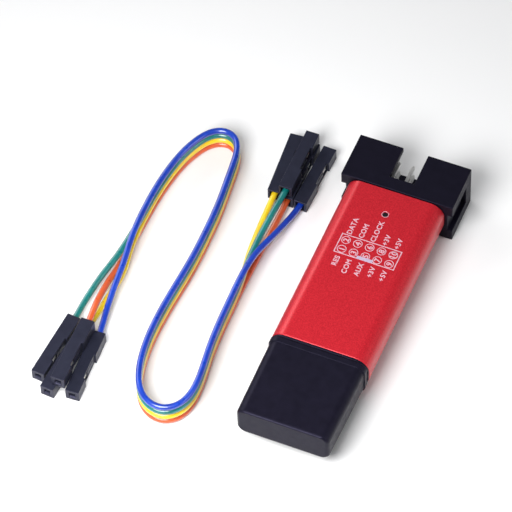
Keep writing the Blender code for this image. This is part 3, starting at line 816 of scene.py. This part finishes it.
def socket_place(entry, lean, direction):
    """Turns a socket from its own frame, where it points along +Y with its window on top, to
    where it lies with its window towards +X."""
    end = Vector((lean, direction * (SOCKET_LENGTH ** 2 - lean ** 2) ** 0.5, 0.0))
    turn = math.atan2(-end.x, end.y)
    return (Matrix.Translation(entry) @ Matrix.Rotation(turn, 4, "Z")
            @ Matrix.Rotation(math.radians(90 * direction), 4, "Y"))


def socket_places(colour):
    """The places of a wire's left and right sockets."""
    route = wire_route(colour)
    left = route[0] - Vector((0, WIRE_INSET, 0))
    right = route[-1] + Vector((0, WIRE_INSET, 0))
    return (socket_place(left, LEFT_LEAN[colour], -1),
            socket_place(right, RIGHT_LEAN[colour], 1))


def socket_mesh():
    """One-way crimp housing: bore, funnelled mouth, and a latch tongue in a shallow recess."""
    half = SOCKET_SIZE / 2
    bore = SOCKET_BORE / 2
    floor_y = SOCKET_LENGTH - SOCKET_MOUTH_DEPTH
    mouth = SOCKET_MOUTH / 2
    window = WINDOW_WIDTH / 2
    cutters = [
        box_mesh((-bore, -BEYOND, -bore), (bore, floor_y, SOCKET_BORE_ROOF)),
        square_taper(floor_y - BEYOND, mouth, SOCKET_LENGTH + BEYOND, mouth),
        square_taper(SOCKET_LENGTH - SOCKET_FUNNEL_DEPTH, mouth * 0.98,
                     SOCKET_LENGTH + 0.01 * MM, SOCKET_FUNNEL / 2),
        box_mesh((-half - BEYOND, RECESS_START, half - RECESS_DEPTH),
                 (half + BEYOND, RECESS_END, half + BEYOND)),
        box_mesh((-window, WINDOW_START, 0), (window, WINDOW_END, half + BEYOND)),
    ]
    for side in (-1, 1):
        outer, inner = side * window, side * (window - LATCH_SLIT)
        cutters.append(box_mesh((min(outer, inner), LATCH_START, 0),
                                (max(outer, inner), WINDOW_START + 0.1 * MM, half + BEYOND)))
    return carved(box_mesh((-half, 0, -half), (half, SOCKET_LENGTH, half)), cutters)


def terminal_mesh():
    """Folded terminal: a square receptacle, a narrow neck and a barrel around the wire."""
    def square(y, half, corner):
        return rounded_ring(y, 2 * half, 2 * half, 0, 0, corner, 2)

    receptacle = skinned([
        square(RECEPTACLE_START, RECEPTACLE_OUTER, 0.12 * MM),
        square(RECEPTACLE_END, RECEPTACLE_OUTER, 0.12 * MM),
        square(RECEPTACLE_END, RECEPTACLE_INNER, 0.06 * MM),
        square(RECEPTACLE_START, RECEPTACLE_INNER, 0.06 * MM),
    ], hollow=True)
    neck = skinned([square(y, half, 0.1 * MM) for y, half in TERMINAL_NECK])
    barrel = skinned([square(y, half, 0.5 * half) for y, half in TERMINAL_BARREL], hollow=True)
    return joined([receptacle, neck, barrel])


def sockets(finishes):
    """Eight housings and their terminals. Gives each wire's pieces by colour."""
    housing, terminal = socket_mesh(), terminal_mesh()
    made = {}
    for colour in COLOURS:
        made[colour] = []
        for end, place in zip("ab", socket_places(colour)):
            shell = piece(f"socket_shell_{colour}_{end}", housing.copy(), finishes["socket"],
                          "jumper_lead", [f"socket_{colour}_{end}"], place)
            soften(shell, SOCKET_EDGE, 2)
            metal = piece(f"terminal_{colour}_{end}", terminal.copy(), finishes["tin"],
                          "jumper_lead", [f"crimp_{colour}_{end}"], place)
            made[colour] += [shell, metal]
    return made


def wire(colour, material):
    """One insulated wire from inside one socket to inside the other."""
    left, right = socket_places(colour)
    start = left @ Vector((0, WIRE_INSERTION, 0))
    end = right @ Vector((0, WIRE_INSERTION, 0))
    points = smooth_route([start, *wire_route(colour), end], WIRE_POINT_SPACING)
    curve = bpy.data.curves.new("insulation_" + colour, "CURVE")
    curve.dimensions = "3D"
    curve.bevel_depth = WIRE_DIAMETER / 2
    curve.bevel_resolution = 6
    curve.use_fill_caps = True
    spline = curve.splines.new("POLY")
    spline.points.add(len(points) - 1)
    for knot, point in zip(spline.points, points):
        knot.co = (*point, 1.0)
    curve.materials.append(material)
    made = bpy.data.objects.new("insulation_" + colour, curve)
    bpy.context.scene.collection.objects.link(made)
    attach(made, "jumper_lead")
    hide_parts("wire_" + colour)


def web(lower, upper, material):
    """The thin strip that joins two neighbouring wires along the ribbon, thinned to nothing
    at its ends."""
    route = [Vector((x, y, 0)) * MM for x, y in RIBBON_ROUTE]
    points = smooth_route(route, WIRE_POINT_SPACING)
    points = points[WEB_POINTS_LEFT_OFF:-WEB_POINTS_LEFT_OFF]
    bottom = Vector((0, 0, RIBBON_Z[lower] * MM + WIRE_DIAMETER / 2 - WEB_OVERLAP))
    top = Vector((0, 0, RIBBON_Z[upper] * MM - WIRE_DIAMETER / 2 + WEB_OVERLAP))
    rings = []
    for i, point in enumerate(points):
        before, after = points[max(i - 1, 0)], points[min(i + 1, len(points) - 1)]
        along = (after - before).normalized()
        side = Vector((-along.y, along.x, 0))
        taper = min(1.0, (min(i, len(points) - 1 - i) + 0.5) / WEB_TAPER_POINTS)
        out = side * WEB_THICKNESS / 2 * taper
        rings.append([point + out + bottom, point + out + top,
                      point - out + top, point - out + bottom])
    return piece(f"ribbon_web_{lower}_{upper}", skinned(rings), material, "jumper_lead")


def jumper_lead(finishes):
    """The sockets, the webs and the four wires; each wire's sockets and web are gathered by colour.
    """
    companions = sockets(finishes)
    for lower, upper in (("orange", "yellow"), ("yellow", "green"), ("green", "blue")):
        companions[lower].append(web(lower, upper, finishes[lower]))
    for colour in COLOURS:
        wire(colour, finishes[colour])


# ---------------------------------------------------------------- camera, light and floor

def camera():
    """The main view, looking down at the label from the cap end."""
    made = bpy.data.objects.new("camera", bpy.data.cameras.new("camera"))
    bpy.context.scene.collection.objects.link(made)
    turn = (Matrix.Rotation(math.radians(CAMERA_AZIMUTH), 4, "Z")
            @ Matrix.Rotation(math.radians(90 - CAMERA_ELEVATION), 4, "X")
            @ Matrix.Rotation(math.radians(CAMERA_ROLL), 4, "Z"))
    back = turn @ Vector((0, 0, 1))
    made.matrix_world = Matrix.Translation(CAMERA_TARGET + back * CAMERA_DISTANCE) @ turn
    made.data.sensor_width = SENSOR_WIDTH
    made.data.lens = CAMERA_LENS
    made.data.clip_start = 0.01
    made.data.clip_end = 20.0
    bpy.context.scene.camera = made


def soft_light(name, place, width, power):
    """A round area light aimed at the middle of the object."""
    made = bpy.data.objects.new(name, bpy.data.lights.new(name, "AREA"))
    bpy.context.scene.collection.objects.link(made)
    made.data.shape = "DISK"
    made.data.size = width * MM
    made.data.energy = power
    made.location = Vector(place) * MM
    made.rotation_euler = (made.location - LIGHT_TARGET).to_track_quat("Z", "Y").to_euler()


def studio():
    """Pale floor, even surroundings and the soft lights. The streak light stands behind on
    the left and draws the fine highlights along the wires."""
    scene = bpy.context.scene
    scene.view_settings.view_transform = "Standard"
    world = bpy.data.worlds.new("surroundings")
    world.use_nodes = True
    background = world.node_tree.nodes["Background"]
    background.inputs["Color"].default_value = SURROUNDINGS_COLOUR
    background.inputs["Strength"].default_value = SURROUNDINGS_STRENGTH
    scene.world = world
    for light in LIGHTS:
        soft_light(*light)
    corners = [(x * FLOOR_REACH, y * FLOOR_REACH, FLOOR_Z)
               for x, y in ((-1, -1), (1, -1), (1, 1), (-1, 1))]
    floor_mesh = bpy.data.meshes.new("floor")
    floor_mesh.from_pydata(corners, [], [(0, 1, 2, 3)])
    floor = bpy.data.objects.new("floor", floor_mesh)
    scene.collection.objects.link(floor)
    paper = finish("floor_paper", (0.88, 0.88, 0.88), 0.8, specular=0.2)
    floor_mesh.materials.append(paper)


def all_finishes():
    """Every material of the object, by a short key."""
    return {
        "red": anodised_finish(),
        "header": moulded_finish("header_plastic", (0.0036, 0.0032, 0.0070), 0.50, 0.10 * MM,
                                 0.004 * MM, 0.2),
        "cap": moulded_finish("cap_plastic", (0.0058, 0.0052, 0.0105), 0.40, 0.08 * MM, 0.003 * MM,
                              0.17),
        "socket": moulded_finish("socket_plastic", (0.011, 0.0125, 0.021), 0.42, 0.08 * MM,
                                 0.004 * MM, 0.45),
        "tin": plated_finish("tin_plate", (0.86, 0.85, 0.83), 0.34, 0.75),
        "steel": plated_finish("nickel_plate", (0.74, 0.73, 0.71), 0.22),
        "gold": plated_finish("gold_plate", (0.87, 0.62, 0.24), 0.22),
        "white": plain_finish("white_ink", (0.54, 0.30, 0.37), (0.66, 0.42, 0.49), 0.55,
                              0.12 * MM, 0.002 * MM),
        "pale": plain_finish("pale_ink", (0.40, 0.32, 0.45), (0.50, 0.42, 0.55), 0.5,
                             0.15 * MM, 0.002 * MM),
        "tongue": plain_finish("tongue_plastic", (0.74, 0.74, 0.71), (0.82, 0.82, 0.80), 0.45,
                               0.6 * MM, 0.004 * MM),
        "board": plain_finish("solder_resist", (0.010, 0.075, 0.030), (0.020, 0.150, 0.055),
                              0.35, 0.5 * MM, 0.010 * MM),
        "resin": plain_finish("chip_epoxy", (0.014, 0.014, 0.016), (0.028, 0.028, 0.030), 0.55,
                              0.3 * MM, 0.006 * MM),
        "ceramic": plain_finish("capacitor_ceramic", (0.32, 0.20, 0.10), (0.44, 0.30, 0.17),
                                0.5, 0.2 * MM, 0.004 * MM),
        # Near-black colour of the plug in the LED hole: painted shade for the dark inside of the
        # hole
        "hole_shade": plain_finish("painted_hole_shade", (0.006, 0.005, 0.006), (0.012, 0.010, 0.012), 0.12,
                              0.3 * MM, 0.001 * MM),
        "lens": plain_finish("led_resin", (0.70, 0.70, 0.62), (0.85, 0.85, 0.80), 0.2,
                             0.3 * MM, 0.002 * MM),
        "blue": insulation_finish("blue_pvc", (0.002, 0.030, 0.34), (0.004, 0.052, 0.48)),
        "green": insulation_finish("green_pvc", (0.001, 0.13, 0.12), (0.003, 0.19, 0.18)),
        "yellow": insulation_finish("yellow_pvc", (0.82, 0.54, 0.008), (0.90, 0.66, 0.018)),
        "orange": insulation_finish("orange_pvc", (0.60, 0.085, 0.016), (0.70, 0.115, 0.030)),
    }


def main():
    """Builds the whole scene."""
    finishes = all_finishes()
    camera()
    jumper_lead(finishes)
    sleeve(finishes["red"])
    light_pipe(finishes["hole_shade"])
    label(finishes["white"], finishes["pale"])
    header(finishes["header"])
    bezel(finishes["cap"])
    plug_shell(finishes["steel"])
    cap(finishes["cap"])
    small_parts(finishes)
    studio()


main()
